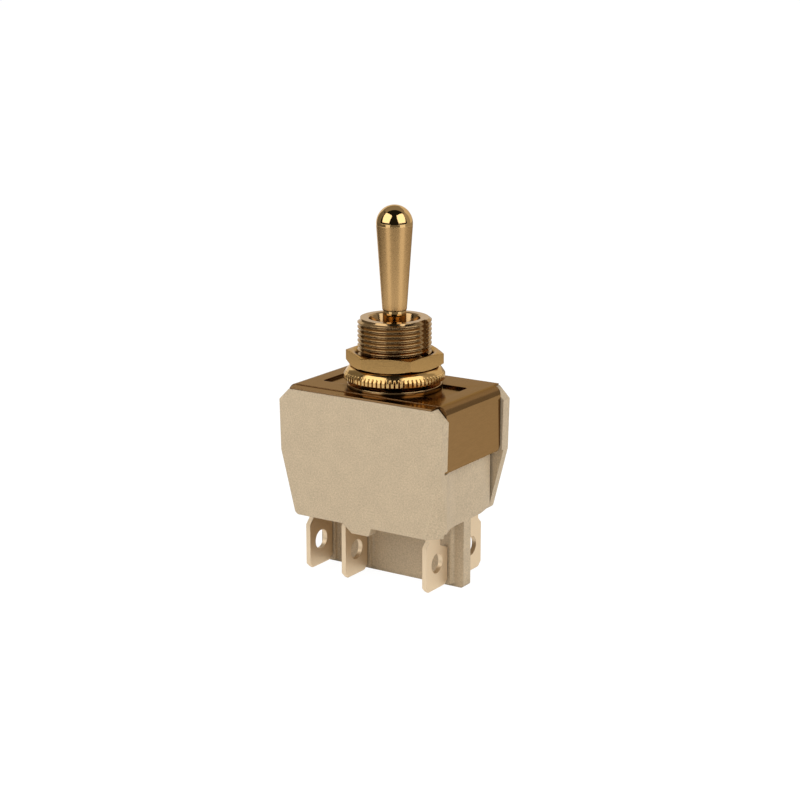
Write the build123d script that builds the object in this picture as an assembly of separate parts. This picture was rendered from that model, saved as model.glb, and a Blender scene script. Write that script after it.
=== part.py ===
"""Panel-mounting toggle switch, double pole, with six tab terminals.

All sizes are in millimetres. Z points up along the threaded bushing, X runs along the case and is
the way the lever swings, and Y runs across it. The origin is on the bushing's axis at the level of
the partition rib's lower edge, which is what the switch stands on.
"""
import os
from math import cos, pi, radians, sin, sqrt

from build123d import *

# Running and seating clearances
RUNNING_GAP = 0.05       # between a pin or shaft and its bore
SEAT_GAP = 0.02          # between a pressed or staked piece and its seat
LOOSE_GAP = 0.14         # between the frame strip and the case plates
CONTACT_GAP = 0.06       # left between closed contacts, and under the plungers
OVERCUT = 1.0            # how far a cut starts outside what it cuts
SAME_PLACE = 0.01        # two places nearer than this are one

# Case moulding
CORE_HEIGHT = 19.3
FLOOR_THICKNESS = 2.3
END_WALL = 1.21
RIB_DROP = 11.3          # from the case floor down to the rib's lower edge
RIB_TO_TAB = 0.18        # between a buttress and the blade's inner edge
RIB_SHARE = 0.577        # of the room between the rows, the rest is buttress
RIB_CORNER = 0.5
RIB_BUTTRESS_HALF = 0.85
SIDE_WALL = 0.82         # pocket to the inner face of a plate
CORE_CLEARANCE = 0.29    # between the core's end and the frame's flange
PARTITION_TOP_GAP = 0.8  # below the yoke
PAD_DROP = 1.1
PAD_MARGIN = 0.45
# End faces of the case below the frame
FLAT_NEAR = 3.4          # flat ends here and sweeps out to the plate
FLAT_FAR = 4.2           # flat ends here and falls back to the groove
FALL_BACK = 0.81
GROOVE_DEPTH = 1.56      # from the core's end face
GROOVE_WIDTH = 0.53
LEDGE_GAP = 0.1          # between the frame's lower edge and the ledge below it

# Side plates of the case
PLATE_THICKNESS = 1.97
PLATE_SPAN = 20.78       # outside to outside
PLATE_PROUD = 0.28       # plates stand out past the flanges
PLATE_DRAFT = 0.22       # each side is longer by this at the top
PLATE_SINK = 0.44        # below the top of the frame
PLATE_DROP = 0.8         # below the case floor
PLATE_TOP_CHAMFER = 1.9
PLATE_TAPER = 2.75
PLATE_CORNER = 0.9
FACET_RISE = 1.6         # height of the facet's inner corner above the plate's lower edge
FACET_REACH = 2.19       # how far the facet runs in across the case
BULGE_LEFT = 3.2
BULGE_RIGHT = 2.25
BULGE_DROP = 1.37
BULGE_SLOPE_LEFT = 1.7
BULGE_SLOPE_RIGHT = 0.45
BULGE_FILLET = 0.6

# Frame, one folded strip
STRIP_THICKNESS = 0.8
STRIP_HALF_LENGTH = 15.05
STRIP_DROP = 10.66
BEND_RADIUS = 1.4
STRIP_CORNER = 1.0
RECESS_HALF_LENGTH = 11.3
RECESS_HALF_WIDTH = 4.3
RECESS_DEPTH = 0.4
RECESS_CORNER = 0.6
LIP_STEP = 0.12          # side lips below the top of the frame
LIP_SET_BACK = 0.08      # from the plate's outer face
LIP_END_GAP = 0.15       # from the plate's chamfered corner
LIP_ROUND = 0.1
TAB_OUT = 0.8
TAB_HEIGHT = 0.4
TAB_SLOT_GAP = 0.05
LINER_THICKNESS = 0.5
LINER_MARGIN = 0.1

# Bushing
THREAD_DIAMETER = 12.0
BUSHING_RISE = 11.15     # above the top of the frame
BUSHING_CHAMFER = 0.4
COLLAR_DIAMETER = 15.4
COLLAR_RISE = 0.5        # above the top of the frame
COLLAR_CLEARANCE = 0.1   # to the recess round it
SPIGOT_DIAMETER = 11.4
STAKE_DIAMETER = 12.8
STAKE_HEIGHT = 0.6
STAKE_CLEARANCE = 0.4
MOUTH_DIAMETER = 8.3
THROAT_DIAMETER = 5.8
THROAT_ABOVE_PIVOT = 3.0
THROAT_LENGTH = 0.2
SOCKET_CONE = 1.1
KEYWAY_WIDTH = 1.9
KEYWAY_DEPTH = 0.8

# Nuts on the bushing
RING_GAP = 0.66          # between the collar and the knurled nut
RING_DIAMETER = 16.42
RING_THICKNESS = 2.2
RING_BEVEL = 0.45
RING_BEVEL_IN = 0.72     # the bevel is wider than it is high
RING_FOOT_BEVEL = 0.15
RING_TEETH = 70
TOOTH_DEPTH = 0.34
TOOTH_LAND = 0.22        # share of the tooth pitch left as land
HEX_ACROSS_FLATS = 14.0
HEX_THICKNESS = 2.3
HEX_TURN = 21.7
HEX_FOOT_CHAMFER = 0.5
HEX_TOP_CHAMFER = 0.22
NUT_BORE_GAP = 0.04

# Lever
PIVOT_RISE = 3.5         # above the top of the frame
LEVER_SWING = 12.0       # degrees each way
LEVER_RISE = 29.3        # tip above the top of the frame
TIP_DIAMETER = 5.87
GRIP_FOOT_DIAMETER = 3.98
GRIP_FOOT_RISE = 12.4    # above the top of the frame
NECK_DIAMETER = 3.78
NECK_STEP = 0.12
BALL_DIAMETER = 7.2
BALL_CLEARANCE = 0.3
STEM_DIAMETER = 3.2
PIN_DIAMETER = 1.6
PIN_SHORT = 0.1          # how far each end stops inside the thread

# Insulating yoke on the lever's foot, with its sprung plungers
YOKE_DROP = 6.8          # top of the yoke below the pivot
YOKE_HEIGHT = 6.0
YOKE_HALF_LENGTH = 2.5
YOKE_SIDE_GAP = 0.45     # to the pocket's outer wall
YOKE_CORNER = 0.5
STEM_END_WALL = 0.9
PLUNGER_DIAMETER = 2.6
PLUNGER_HOLD = 2.5       # length of plunger held in the yoke
BORE_END_WALL = 0.7
SPRING_WIRE = 0.36
SPRING_CLEARANCE = 0.12
SPRING_TURNS = 3.5
SPRING_WIRE_SIDES = 6

# Contact rockers
POLE_INSET = 2.4         # pocket's outer wall to the middle of the pole
ROCKER_SWING = 8.0       # degrees each way
ROCKER_WIDTH = 4.0
ROCKER_THICKNESS = 0.8
ROCKER_PIVOT_RISE = 3.4  # above the case floor inside
ROCKER_END_GAP = 2.55    # to the pocket's end wall
ROCKER_PAD = 3.6
HUMP_AT = 4.0
RIDGE_RADIUS = 0.6
RIDGE_SINK = 0.3
CONTACT_INSET = 1.3      # from the rocker's end
CONTACT_DIAMETER = 2.6
CONTACT_SHANK = 1.2
FIXED_CONTACT_HEIGHT = 0.8
MOVING_CONTACT_HEIGHT = 0.7
CONTACT_NOSE = 0.7       # radius of the moving contact's flat nose
CONTACT_NOSE_RISE = 0.25
CRADLE_HALF_LENGTH = 1.1
CRADLE_TOP_DROP = 0.1

# Terminals, tabs of 6.35 by 0.8
TAB_WIDTH = 6.35
TAB_THICKNESS = 0.8
NECK_FROM_OUTER_EDGE = 0.92
NECK_WIDTH = 3.2
SHELF_WIDTH = 3.9
LEFT_TAB_INSET = 2.43    # from the core's end to the middle of the blade
RIGHT_TAB_INSET = 2.82
CENTRE_TAB_OFFSET = 4.44
TAB_TIP_CHAMFER = 0.95
TAB_TIP_BEVEL = 0.22
TAB_HOLE_DIAMETER = 3.3
TAB_HOLE_RISE = 4.4      # above the tip
LEFT_SHOULDERS = (1.9, 2.1)     # outer and inner, below the foot
CENTRE_SHOULDERS = (0.9, 0.9)
RIGHT_SHOULDERS = (1.9, 3.3)
SHOULDER_SLOPE = 0.9
FACE_CUT = 0.01                 # least height left above a shoulder's slope
FOOT_REACH = 1.1         # from the blade's middle to the tang's outer face
BEND_ROUND = 0.35
CENTRE_TIP_RISE = 0.15
OUTER_TIP_RISE = 0.6

# Levels and places that follow from the sizes above
CORE_HALF_LENGTH = STRIP_HALF_LENGTH - STRIP_THICKNESS - CORE_CLEARANCE
PLATE_HALF_LENGTH = STRIP_HALF_LENGTH + PLATE_PROUD
CASE_FLOOR_UNDER = RIB_DROP
CASE_FLOOR_TOP = CASE_FLOOR_UNDER + FLOOR_THICKNESS
CASE_RIM = CASE_FLOOR_UNDER + CORE_HEIGHT
FRAME_UNDER = CASE_RIM + LINER_THICKNESS
FRAME_TOP = FRAME_UNDER + STRIP_THICKNESS
FRAME_FOOT = FRAME_TOP - STRIP_DROP
LEDGE = FRAME_FOOT - LEDGE_GAP
PLATE_INNER = PLATE_SPAN / 2 - PLATE_THICKNESS
STRIP_WIDTH = 2 * (PLATE_INNER - LOOSE_GAP)
PLATE_TOP = FRAME_TOP - PLATE_SINK
PLATE_FOOT = CASE_FLOOR_UNDER - PLATE_DROP
PAD_FOOT = CASE_FLOOR_UNDER - PAD_DROP
POCKET_SIDE = PLATE_INNER - SIDE_WALL
POCKET_END = CORE_HALF_LENGTH - END_WALL
POLE_OFFSET = POCKET_SIDE - POLE_INSET
YOKE_HALF_WIDTH = POCKET_SIDE - YOKE_SIDE_GAP
ROCKER_REACH = POCKET_END - ROCKER_END_GAP
CONTACT_REACH = ROCKER_REACH - CONTACT_INSET
TAB_OUTER_EDGE = PLATE_INNER
TAB_INNER_EDGE = TAB_OUTER_EDGE - TAB_WIDTH
TAB_CENTRE = TAB_OUTER_EDGE - TAB_WIDTH / 2
TAB_NECK_OUT = TAB_OUTER_EDGE - NECK_FROM_OUTER_EDGE
TAB_NECK_IN = TAB_NECK_OUT - NECK_WIDTH
SHELF_IN = TAB_NECK_OUT - SHELF_WIDTH
RIB_ROOM = TAB_INNER_EDGE - RIB_TO_TAB
RIB_THICKNESS = 2 * RIB_SHARE * RIB_ROOM
RIB_BUTTRESS_OUT = RIB_ROOM - RIB_THICKNESS / 2
RIB_BUTTRESS_FILLET = RIB_BUTTRESS_OUT / 2
PIVOT = FRAME_TOP + PIVOT_RISE
YOKE_TOP = PIVOT - YOKE_DROP
YOKE_FOOT = YOKE_TOP - YOKE_HEIGHT
BUSHING_TOP = FRAME_TOP + BUSHING_RISE
COLLAR_FOOT = FRAME_TOP - RECESS_DEPTH
COLLAR_TOP = FRAME_TOP + COLLAR_RISE
RING_FOOT = COLLAR_TOP + RING_GAP
RING_TOP = RING_FOOT + RING_THICKNESS
ROCKER_PIVOT = CASE_FLOOR_TOP + ROCKER_PIVOT_RISE
ROCKER_UNDER = ROCKER_PIVOT + RIDGE_SINK
FIXED_CONTACT_TOP = CASE_FLOOR_TOP + TAB_THICKNESS + FIXED_CONTACT_HEIGHT
PLUNGER_TIP = ROCKER_UNDER + ROCKER_THICKNESS + CONTACT_GAP
PLUNGER_TOP = YOKE_FOOT + PLUNGER_HOLD
BORE_TOP = YOKE_TOP - BORE_END_WALL


def block(x0, x1, y0, y1, z0, z1):
    """A box between two corners."""
    centre = Pos((x0 + x1) / 2, (y0 + y1) / 2, (z0 + z1) / 2)
    return centre * Box(abs(x1 - x0), abs(y1 - y0), abs(z1 - z0))


def turned(points):
    """A solid of revolution about Z from radius and height pairs, closed along the axis."""
    face = make_face(Plane.XZ * Polyline(*points, close=True))
    return revolve(face, Axis.Z)


def half_turn(shape):
    """The same shape on the opposite corner of the case."""
    return Rot(0, 0, 180) * shape


def mirrored(shape):
    """The same shape on the other side of the centre plane."""
    return mirror(shape, about=Plane.XZ)


# Case
def side_plate():
    """The front plate, with its chamfered top, tapered ends and lower bulge."""
    top_half = PLATE_HALF_LENGTH + PLATE_DRAFT
    with BuildSketch(Plane.XZ) as outline:
        with BuildLine():
            Polyline(
                (PLATE_TOP_CHAMFER - top_half, PLATE_TOP),
                (top_half - PLATE_TOP_CHAMFER, PLATE_TOP),
                (top_half, PLATE_TOP - PLATE_TOP_CHAMFER),
                (PLATE_HALF_LENGTH, LEDGE),
                (PLATE_HALF_LENGTH, PLATE_FOOT),
                (PLATE_TAPER - PLATE_HALF_LENGTH, PLATE_FOOT),
                (-PLATE_HALF_LENGTH, LEDGE),
                (-top_half, PLATE_TOP - PLATE_TOP_CHAMFER),
                close=True,
            )
        make_face()
        corner = outline.vertices().sort_by(Axis.Y)[:2].sort_by(Axis.X)[0]
        fillet(corner, PLATE_CORNER)
    with BuildSketch(Plane.XZ) as bulge:
        with BuildLine():
            Polyline(
                (-BULGE_LEFT, PLATE_FOOT + BULGE_DROP),
                (BULGE_RIGHT, PLATE_FOOT + BULGE_DROP),
                (BULGE_RIGHT, PLATE_FOOT),
                (BULGE_RIGHT - BULGE_SLOPE_RIGHT, PLATE_FOOT - BULGE_DROP),
                (BULGE_SLOPE_LEFT - BULGE_LEFT, PLATE_FOOT - BULGE_DROP),
                (-BULGE_LEFT, PLATE_FOOT),
                close=True,
            )
        make_face()
        fillet(bulge.vertices().sort_by(Axis.Y)[:2], BULGE_FILLET / 2)
    face = outline.sketch + bulge.sketch
    plate = Pos(0, -PLATE_INNER, 0) * extrude(face, PLATE_THICKNESS)
    groove_end = CORE_HALF_LENGTH - GROOVE_DEPTH
    plate -= block(-2 * PLATE_HALF_LENGTH, -groove_end, -PLATE_INNER - GROOVE_WIDTH, -PLATE_INNER,
                   0, LEDGE)
    return plate


def facet_cutter():
    """What the slanting facet takes off the lower front corner of a plate."""
    top = Vector(PLATE_HALF_LENGTH, -PLATE_SPAN / 2, LEDGE)
    foot = Vector(PLATE_HALF_LENGTH - PLATE_TAPER, -PLATE_SPAN / 2, PLATE_FOOT)
    inner = Vector(PLATE_HALF_LENGTH, FACET_REACH - PLATE_SPAN / 2, PLATE_FOOT + FACET_RISE)
    outward = (inner - top).cross(foot - top).normalized()
    if outward.X < 0:
        outward = outward * -1
    reach = 2 * PLATE_HALF_LENGTH
    return extrude(Plane(origin=top, z_dir=outward) * Rectangle(2 * reach, 2 * reach), PLATE_SPAN)


def end_outline():
    """Plan of the case below the frame: each end sweeps out to one plate and falls back at the other."""
    edge = (PLATE_HALF_LENGTH, -PLATE_INNER)
    sweep = (CORE_HALF_LENGTH, -FLAT_NEAR)
    flat = (CORE_HALF_LENGTH, FLAT_FAR)
    back = (CORE_HALF_LENGTH - FALL_BACK, PLATE_INNER)

    def opposite(point):
        return (-point[0], -point[1])

    with BuildSketch() as plan:
        with BuildLine():
            TangentArc(sweep, edge, tangent=(0, -1))
            Polyline(sweep, flat, back, opposite(edge))
            TangentArc(opposite(sweep), opposite(edge), tangent=(0, 1))
            Polyline(opposite(sweep), opposite(flat), opposite(back), edge)
        make_face()
    return plan.sketch


def partition_rib():
    """The rib that hangs between the two rows of terminals, with a buttress behind each one."""
    rib = block(-CORE_HALF_LENGTH, CORE_HALF_LENGTH, -RIB_THICKNESS / 2, RIB_THICKNESS / 2,
                0, CASE_FLOOR_TOP)
    lower = rib.edges().filter_by(Axis.Y).group_by(Axis.Z)[0]
    rib = fillet(lower, RIB_CORNER)
    out = RIB_THICKNESS / 2 + RIB_BUTTRESS_OUT
    for place in TERMINAL_PLACES:
        rib += block(place.blade - RIB_BUTTRESS_HALF, place.blade + RIB_BUTTRESS_HALF, -out, out,
                     RIB_CORNER, CASE_FLOOR_TOP)
    inner_corners = [
        edge for edge in rib.edges().filter_by(Axis.Z)
        if abs(abs(edge.center().Y) - RIB_THICKNESS / 2) < SAME_PLACE
        and abs(edge.center().X) < CORE_HALF_LENGTH - SAME_PLACE
    ]
    return fillet(inner_corners, RIB_BUTTRESS_FILLET)


def tang_slot(place, side):
    """The slot in the case floor that a terminal's tang comes through."""
    inner, outer = sorted((side * TAB_NECK_IN, side * TAB_NECK_OUT))
    return block(place.tang - RUNNING_GAP, place.tang + TAB_THICKNESS + RUNNING_GAP,
                 inner - RUNNING_GAP, outer + RUNNING_GAP, 0, CASE_FLOOR_TOP)


def floor_pad(place, side):
    """The raised pad under the floor that a terminal's foot lies against."""
    inner, outer = sorted((side * (TAB_NECK_IN - PAD_MARGIN), side * (TAB_NECK_OUT + PAD_MARGIN)))
    return block(place.tang - PAD_MARGIN, place.blade + TAB_THICKNESS / 2 + PAD_MARGIN, inner, outer,
                 PAD_FOOT, CASE_FLOOR_UNDER + FLOOR_THICKNESS / 2)


def case():
    """The whole moulding: core, two side plates, pads, partition and rib."""
    body = extrude(Pos(0, 0, CASE_FLOOR_UNDER) * end_outline(), LEDGE - CASE_FLOOR_UNDER)
    body += block(-CORE_HALF_LENGTH, CORE_HALF_LENGTH, -PLATE_INNER, PLATE_INNER, LEDGE, CASE_RIM)
    plate = side_plate()
    body += [plate, half_turn(plate)]
    cutter = facet_cutter()
    body -= [cutter, half_turn(cutter)]
    for side in (-1, 1):
        for place in TERMINAL_PLACES:
            body += floor_pad(place, side)
    slot_floor = FRAME_FOOT - TAB_SLOT_GAP
    tab_slot = block(STRIP_HALF_LENGTH - STRIP_THICKNESS - TAB_SLOT_GAP, PLATE_HALF_LENGTH + PLATE_DRAFT,
                     -PLATE_INNER - TAB_OUT, -PLATE_INNER + LOOSE_GAP,
                     slot_floor, FRAME_FOOT + TAB_HEIGHT + TAB_SLOT_GAP)
    body -= [tab_slot, half_turn(tab_slot)]
    wall = RIB_THICKNESS / 2
    for side in (-1, 1):
        near, far = sorted((side * wall, side * POCKET_SIDE))
        body -= block(-POCKET_END, POCKET_END, near, far, CASE_FLOOR_TOP, CASE_RIM)
    body -= block(-POCKET_END, POCKET_END, -wall, wall, YOKE_FOOT - PARTITION_TOP_GAP, CASE_RIM)
    body += partition_rib()
    for side in (-1, 1):
        for place in TERMINAL_PLACES:
            body -= tang_slot(place, side)
    return body


# Frame and liner
def frame():
    """The folded metal strip over the case, with its recess, hole, side lips and locking tabs."""
    with BuildSketch(Plane.XZ) as section:
        with Locations((0, FRAME_TOP - STRIP_DROP / 2)):
            Rectangle(2 * STRIP_HALF_LENGTH, STRIP_DROP)
        fillet(section.vertices().group_by(Axis.Y)[-1], BEND_RADIUS)
        with BuildSketch(Plane.XZ, mode=Mode.SUBTRACT) as inside:
            with Locations((0, FRAME_UNDER - STRIP_DROP / 2)):
                Rectangle(2 * (STRIP_HALF_LENGTH - STRIP_THICKNESS), STRIP_DROP)
            fillet(inside.vertices().group_by(Axis.Y)[-1], BEND_RADIUS - STRIP_THICKNESS)
    strip = extrude(section.sketch, STRIP_WIDTH / 2, both=True)
    for x_sign, y_sign in ((1, 1), (-1, -1)):
        corner = [
            edge for edge in strip.edges().filter_by(Axis.X)
            if edge.center().Z < FRAME_FOOT + SAME_PLACE
            and edge.center().X * x_sign > 0 and edge.center().Y * y_sign > 0
        ]
        strip = fillet(corner, STRIP_CORNER)
    recess_plan = RectangleRounded(2 * RECESS_HALF_LENGTH, 2 * RECESS_HALF_WIDTH, RECESS_CORNER)
    recess_plan += Circle(COLLAR_DIAMETER / 2 + COLLAR_CLEARANCE)
    recess = Pos(0, 0, COLLAR_FOOT) * extrude(recess_plan, RECESS_DEPTH)
    hole = Pos(0, 0, FRAME_UNDER + STRIP_THICKNESS / 2) * Cylinder(
        SPIGOT_DIAMETER / 2 + SEAT_GAP, 2 * STRIP_THICKNESS
    )
    lip_half = PLATE_HALF_LENGTH + PLATE_DRAFT - PLATE_TOP_CHAMFER - LIP_END_GAP
    lip = block(-lip_half, lip_half, LIP_SET_BACK - PLATE_SPAN / 2, -STRIP_WIDTH / 2,
                PLATE_TOP + SEAT_GAP, FRAME_TOP - LIP_STEP)
    lip = fillet(lip.edges().filter_by(Axis.X).group_by(Axis.Y)[0].sort_by(Axis.Z)[-1], LIP_ROUND)
    tab = block(STRIP_HALF_LENGTH - STRIP_THICKNESS, STRIP_HALF_LENGTH,
                -STRIP_WIDTH / 2 - TAB_OUT + LOOSE_GAP / 2, -STRIP_WIDTH / 2,
                FRAME_FOOT, FRAME_FOOT + TAB_HEIGHT)
    return strip - recess - hole + [lip, half_turn(lip), tab, half_turn(tab)]


def liner():
    """The insulating sheet between the case's open top and the frame."""
    half_length = STRIP_HALF_LENGTH - BEND_RADIUS - LINER_MARGIN
    half_width = PLATE_INNER - LINER_MARGIN
    sheet = block(-half_length, half_length, -half_width, half_width, CASE_RIM, FRAME_UNDER)
    hole = STAKE_DIAMETER / 2 + STAKE_CLEARANCE
    return sheet - Pos(0, 0, CASE_RIM) * Cylinder(hole, OVERCUT + 2 * LINER_THICKNESS)


# Bushing and nuts
def bushing():
    """The turned bushing: spigot staked in the frame, collar, thread, lever socket and conical mouth."""
    thread = THREAD_DIAMETER / 2
    socket = BALL_DIAMETER / 2 + BALL_CLEARANCE
    throat = THROAT_DIAMETER / 2
    throat_foot = PIVOT + THROAT_ABOVE_PIVOT
    stake_foot = FRAME_UNDER - STAKE_HEIGHT
    body = turned([
        (socket, stake_foot),
        (STAKE_DIAMETER / 2, stake_foot),
        (STAKE_DIAMETER / 2, FRAME_UNDER),
        (SPIGOT_DIAMETER / 2, FRAME_UNDER),
        (SPIGOT_DIAMETER / 2, COLLAR_FOOT),
        (COLLAR_DIAMETER / 2, COLLAR_FOOT),
        (COLLAR_DIAMETER / 2, COLLAR_TOP),
        (thread, COLLAR_TOP),
        (thread, BUSHING_TOP - BUSHING_CHAMFER),
        (thread - BUSHING_CHAMFER, BUSHING_TOP),
        (MOUTH_DIAMETER / 2, BUSHING_TOP),
        (throat, throat_foot + THROAT_LENGTH),
        (throat, throat_foot),
        (socket, throat_foot - SOCKET_CONE),
    ])
    keyway = block(thread - KEYWAY_DEPTH, COLLAR_DIAMETER, -KEYWAY_WIDTH / 2, KEYWAY_WIDTH / 2,
                   COLLAR_TOP, BUSHING_TOP + OVERCUT)
    pin_hole = Pos(0, 0, PIVOT) * Rot(90, 0, 0) * Cylinder(PIN_DIAMETER / 2 + SEAT_GAP, THREAD_DIAMETER)
    return body - keyway - pin_hole


def nut_bore():
    """Radius of both nuts' bores, which clear the plain thread cylinder."""
    return THREAD_DIAMETER / 2 + NUT_BORE_GAP


def knurled_nut():
    """The round nut with straight teeth on its rim and a bevelled top."""
    outer = RING_DIAMETER / 2
    half_gap = pi * outer / RING_TEETH * (1 - TOOTH_LAND)
    with BuildSketch() as teeth:
        Circle(outer)
        with PolarLocations(outer, RING_TEETH):
            Polygon((TOOTH_DEPTH, -half_gap), (TOOTH_DEPTH, half_gap), (-TOOTH_DEPTH, 0),
                    align=None, mode=Mode.SUBTRACT)
    toothed = Pos(0, 0, RING_FOOT) * extrude(teeth.sketch, RING_THICKNESS)
    envelope = turned([
        (nut_bore(), RING_FOOT),
        (outer - RING_FOOT_BEVEL, RING_FOOT),
        (outer, RING_FOOT + RING_FOOT_BEVEL),
        (outer, RING_TOP - RING_BEVEL),
        (outer - RING_BEVEL_IN, RING_TOP),
        (nut_bore(), RING_TOP),
    ])
    return toothed & envelope


def hex_nut():
    """The hexagonal nut, chamfered more below than above."""
    corner = HEX_ACROSS_FLATS / sqrt(3)
    top = RING_TOP + HEX_THICKNESS
    prism = Pos(0, 0, RING_TOP) * extrude(
        Rot(0, 0, HEX_TURN) * RegularPolygon(corner, 6), HEX_THICKNESS
    )
    flat = HEX_ACROSS_FLATS / 2
    envelope = turned([
        (nut_bore(), RING_TOP),
        (flat, RING_TOP),
        (corner, RING_TOP + HEX_FOOT_CHAMFER),
        (corner, top - HEX_TOP_CHAMFER),
        (flat, top),
        (nut_bore(), top),
    ])
    return prism & envelope


# Lever
def lever():
    """The turned lever: stem, ball, neck, tapered grip and rounded tip."""
    ball = BALL_DIAMETER / 2
    stem = STEM_DIAMETER / 2
    neck = NECK_DIAMETER / 2
    tip = TIP_DIAMETER / 2
    grip_foot = FRAME_TOP + GRIP_FOOT_RISE
    tip_centre = FRAME_TOP + LEVER_RISE - tip
    ball_foot = PIVOT - sqrt(ball ** 2 - stem ** 2)
    ball_top = PIVOT + sqrt(ball ** 2 - neck ** 2)
    with BuildSketch(Plane.XZ) as section:
        with BuildLine():
            Polyline((0, YOKE_FOOT + STEM_END_WALL), (stem, YOKE_FOOT + STEM_END_WALL), (stem, ball_foot))
            ThreePointArc((stem, ball_foot), (ball, PIVOT), (neck, ball_top))
            Polyline((neck, ball_top), (neck, grip_foot - NECK_STEP), (GRIP_FOOT_DIAMETER / 2, grip_foot),
                     (tip, tip_centre))
            ThreePointArc((tip, tip_centre),
                          (tip * cos(radians(45)), tip_centre + tip * sin(radians(45))),
                          (0, tip_centre + tip))
            Line((0, tip_centre + tip), (0, YOKE_FOOT + STEM_END_WALL))
        make_face()
    body = revolve(section.sketch, Axis.Z)
    return body - Pos(0, 0, PIVOT) * Rot(90, 0, 0) * Cylinder(PIN_DIAMETER / 2 + RUNNING_GAP, BALL_DIAMETER)


def lever_pin():
    """The pin through the bushing that the lever turns on."""
    length = THREAD_DIAMETER - 2 * PIN_SHORT
    return Pos(0, 0, PIVOT) * Rot(90, 0, 0) * Cylinder(PIN_DIAMETER / 2, length)


def yoke():
    """The insulating block on the lever's foot, bored for the stem and both plungers."""
    body = block(-YOKE_HALF_LENGTH, YOKE_HALF_LENGTH, -YOKE_HALF_WIDTH, YOKE_HALF_WIDTH,
                 YOKE_FOOT, YOKE_TOP)
    body = fillet(body.edges().filter_by(Axis.Z), YOKE_CORNER)
    stem_end = YOKE_FOOT + STEM_END_WALL
    body -= Pos(0, 0, (stem_end + YOKE_TOP + OVERCUT) / 2) * Cylinder(
        STEM_DIAMETER / 2 + SEAT_GAP, YOKE_TOP + OVERCUT - stem_end
    )
    for side in (-1, 1):
        body -= Pos(0, side * POLE_OFFSET, (YOKE_FOOT - OVERCUT + BORE_TOP) / 2) * Cylinder(
            PLUNGER_DIAMETER / 2 + RUNNING_GAP, BORE_TOP - YOKE_FOOT + OVERCUT
        )
    return body


def plunger(side):
    """A round-nosed plunger of one pole."""
    radius = PLUNGER_DIAMETER / 2
    nose = PLUNGER_TIP + radius
    with BuildSketch(Plane.XZ) as section:
        with BuildLine():
            ThreePointArc((0, PLUNGER_TIP), (radius * sin(radians(45)), nose - radius * cos(radians(45))),
                          (radius, nose))
            Polyline((radius, nose), (radius, PLUNGER_TOP), (0, PLUNGER_TOP), (0, PLUNGER_TIP))
        make_face()
    return Pos(0, side * POLE_OFFSET, 0) * revolve(section.sketch, Axis.Z)


def plunger_spring(side):
    """The coil spring above a plunger."""
    wire = SPRING_WIRE / 2
    coil = PLUNGER_DIAMETER / 2 - SPRING_CLEARANCE - wire
    height = BORE_TOP - PLUNGER_TOP - 2 * wire
    path = Helix(pitch=height / SPRING_TURNS, height=height, radius=coil)
    section = Plane(origin=path @ 0, z_dir=path % 0) * RegularPolygon(wire, SPRING_WIRE_SIDES)
    spring = sweep(section, path=path)
    return Pos(0, side * POLE_OFFSET, PLUNGER_TOP + wire) * spring


# Contacts
def moving_contact_low():
    """Lowest point of a moving contact at rest, from where it has to meet the fixed one."""
    swing = radians(ROCKER_SWING)
    closed = FIXED_CONTACT_TOP + CONTACT_GAP - ROCKER_PIVOT
    return ROCKER_PIVOT + (closed + (CONTACT_REACH + CONTACT_NOSE) * sin(swing)) / cos(swing)


def dish():
    """Radius of the rocker's dish and height of its centre, from the path of the plunger's nose."""
    nose = PLUNGER_DIAMETER / 2
    arm = PIVOT - PLUNGER_TIP - nose
    lever_angle = radians(LEVER_SWING)
    rocker_angle = radians(ROCKER_SWING)
    x = -arm * sin(lever_angle)
    z = PIVOT - arm * cos(lever_angle) - ROCKER_PIVOT
    x_turned = x * cos(rocker_angle) + z * sin(rocker_angle)
    rise = z * cos(rocker_angle) - x * sin(rocker_angle) - (PIVOT - arm - ROCKER_PIVOT)
    path = (x_turned ** 2 + rise ** 2) / (2 * rise)
    return path + nose + CONTACT_GAP, PIVOT - arm + path


def rocker(side):
    """The see-saw contact strip of one pole: dished middle, sloping arms and flat ends."""
    radius, centre = dish()
    pad_under = moving_contact_low() + MOVING_CONTACT_HEIGHT
    pad_top = pad_under + ROCKER_THICKNESS
    hump = centre - sqrt(radius ** 2 - HUMP_AT ** 2)
    hump_under = centre - sqrt((radius + ROCKER_THICKNESS) ** 2 - HUMP_AT ** 2)
    pad_start = ROCKER_REACH - ROCKER_PAD
    with BuildSketch(Plane.XZ) as section:
        with BuildLine():
            ThreePointArc((-HUMP_AT, hump), (0, centre - radius), (HUMP_AT, hump))
            Polyline((HUMP_AT, hump), (HUMP_AT + ROCKER_THICKNESS / 2, hump), (pad_start, pad_top),
                     (ROCKER_REACH, pad_top), (ROCKER_REACH, pad_under),
                     (pad_start - ROCKER_THICKNESS / 2, pad_under), (HUMP_AT, hump_under))
            ThreePointArc((HUMP_AT, hump_under), (0, centre - radius - ROCKER_THICKNESS),
                          (-HUMP_AT, hump_under))
            Polyline((-HUMP_AT, hump_under), (ROCKER_THICKNESS / 2 - pad_start, pad_under),
                     (-ROCKER_REACH, pad_under), (-ROCKER_REACH, pad_top), (-pad_start, pad_top),
                     (-HUMP_AT - ROCKER_THICKNESS / 2, hump), (-HUMP_AT, hump))
        make_face()
    strip = extrude(section.sketch, ROCKER_WIDTH / 2, both=True)
    ridge = Pos(0, 0, ROCKER_PIVOT) * Rot(90, 0, 0) * Cylinder(RIDGE_RADIUS, ROCKER_WIDTH)
    strip += ridge
    for end in (-1, 1):
        strip -= Pos(end * CONTACT_REACH, 0, pad_under) * Cylinder(
            CONTACT_SHANK / 2 + SEAT_GAP, OVERCUT + 2 * ROCKER_THICKNESS
        )
    return Pos(0, side * POLE_OFFSET, 0) * strip


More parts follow.
